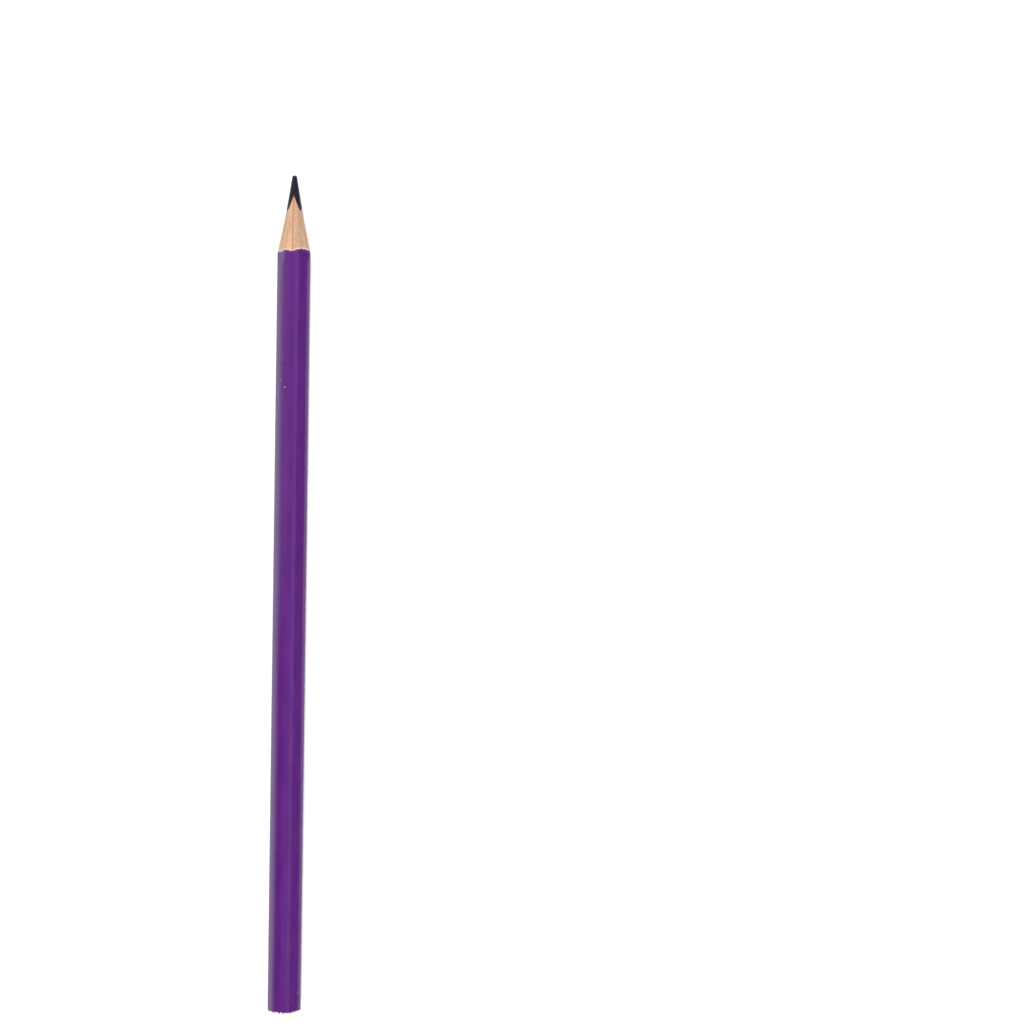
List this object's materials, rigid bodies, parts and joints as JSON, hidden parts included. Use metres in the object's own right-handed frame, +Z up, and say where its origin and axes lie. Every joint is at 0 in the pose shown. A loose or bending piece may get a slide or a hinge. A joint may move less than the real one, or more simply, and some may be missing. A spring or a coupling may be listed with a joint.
{
  "type": "colour pencil",
  "caption": "Wood-cased colour pencil of rounded triangular section, with a glossy purple barrel and a sharpened bare-wood end.",
  "frame": {"origin": "middle of the surface that the pencil lies on, under the middle of its length", "axes": "+X along the pencil towards the point, +Z up through the top ridge, the bottom flat on z = 0; casing_left is on the +Y side, left when seen from the cut end"},
  "size_m": [0.175, 0.007, 0.0066],
  "materials": {
    "core": "waxy, pigment-loaded core, dark aubergine, soft sheen",
    "wood_left": "bare wood, warm tan, fine straight grain, freshly cut",
    "wood_right": "bare wood, paler tan with fine short dark pores, freshly cut",
    "glue": "dried wood glue, dull brown",
    "undercoat": "pale pinkish-white undercoat, matt",
    "lacquer": "purple lacquer",
    "varnish": "clear gloss varnish over the purple lacquer"
  },
  "bodies": {
    "root": {"core": "core", "core_bond": "glue", "casing_left": "wood_left", "casing_right": "wood_right", "glue_line_upper": "glue", "glue_line_lower": "glue", "ground_coat": "undercoat", "colour_coat": "lacquer", "clear_coat": "varnish"}
  },
  "joints": []
}
